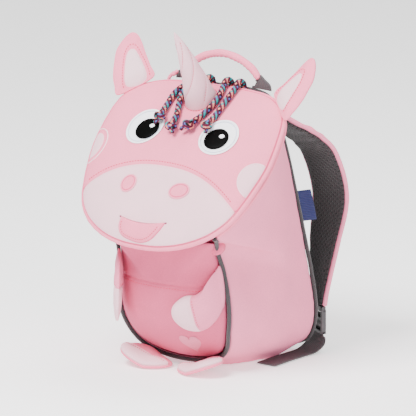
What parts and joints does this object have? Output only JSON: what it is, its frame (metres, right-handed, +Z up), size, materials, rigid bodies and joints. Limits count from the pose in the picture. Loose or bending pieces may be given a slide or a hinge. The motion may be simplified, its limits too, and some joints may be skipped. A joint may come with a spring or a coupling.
{
  "type": "child's backpack",
  "caption": "Small padded child's backpack shaped as a unicorn: a leaning face flap with ears, horn and cord hair over a stuffed belly, arms, feet, a carry handle and two shoulder straps.",
  "frame": {"origin": "centre of the flat base, on the floor that the bag stands on", "axes": "+X to the viewer's right when facing the bag's front, -Y out of its front, +Z up"},
  "size_m": [0.2036, 0.2124, 0.2927],
  "materials": {
    "pink_cloth": "soft brushed polyester, padded",
    "side_cloth": "woven polyester, padded",
    "belly_cloth": "woven polyester, stuffed",
    "pale_cloth": "soft brushed polyester",
    "grey_piping": "woven cover over a round cord",
    "grey_webbing": "woven polyester webbing",
    "spacer_mesh": "knitted spacer mesh with a pattern of holes",
    "black_cloth": "smooth satin stitch",
    "white_cloth": "smooth appliqué cloth",
    "tongue_cloth": "soft brushed polyester",
    "hair_cord": "round braided cord in several colours",
    "grey_plastic": "moulded",
    "navy_tape": "woven tape, plain",
    "dark_slit": "folded cloth edge in shade"
  },
  "bodies": {
    "root": {"side_panel": "side_cloth", "back_panel": "spacer_mesh", "belly_panel": "belly_cloth", "belly_pocket": "belly_cloth", "belly_patch": "pale_cloth", "front_piping": "grey_piping", "back_piping": "grey_piping", "opening_rim": "pink_cloth", "face_upper": "pink_cloth", "muzzle": "pale_cloth", "face_binding": "pink_cloth", "zip_tape": "grey_webbing", "chin_panel": "pale_cloth", "eye_white_left": "white_cloth", "pupil_left": "black_cloth", "nostril_left": "tongue_cloth", "cheek_spot_left": "pale_cloth", "eye_white_right": "white_cloth", "pupil_right": "black_cloth", "nostril_right": "tongue_cloth", "cheek_spot_right": "pale_cloth", "tongue": "tongue_cloth", "mouth_slit": "dark_slit", "horn": "pale_cloth", "ear_left": "pink_cloth", "ear_inner_left": "pale_cloth", "ear_right": "pink_cloth", "ear_inner_right": "pale_cloth", "hair_cord_1": "hair_cord", "hair_knot_1": "hair_cord", "hair_cord_2": "hair_cord", "hair_knot_2": "hair_cord", "hair_cord_3": "hair_cord", "hair_knot_3": "hair_cord", "hair_cord_4": "hair_cord", "hair_knot_4": "hair_cord", "handle_grip": "pink_cloth", "handle_webbing_left": "grey_webbing", "strap_mesh_left": "spacer_mesh", "strap_cover_left": "pink_cloth", "ladder_lock_left": "grey_plastic", "strap_webbing_left": "grey_webbing", "arm_left": "pink_cloth", "hand_left": "pale_cloth", "foot_left": "pink_cloth", "toe_cap_left": "pale_cloth", "handle_webbing_right": "grey_webbing", "strap_mesh_right": "spacer_mesh", "strap_cover_right": "pink_cloth", "ladder_lock_right": "grey_plastic", "strap_webbing_right": "grey_webbing", "arm_right": "pink_cloth", "hand_right": "pale_cloth", "foot_right": "pink_cloth", "toe_cap_right": "pale_cloth", "side_label": "navy_tape", "zip_slider": "grey_plastic", "zip_pull": "tongue_cloth"}
  },
  "joints": []
}
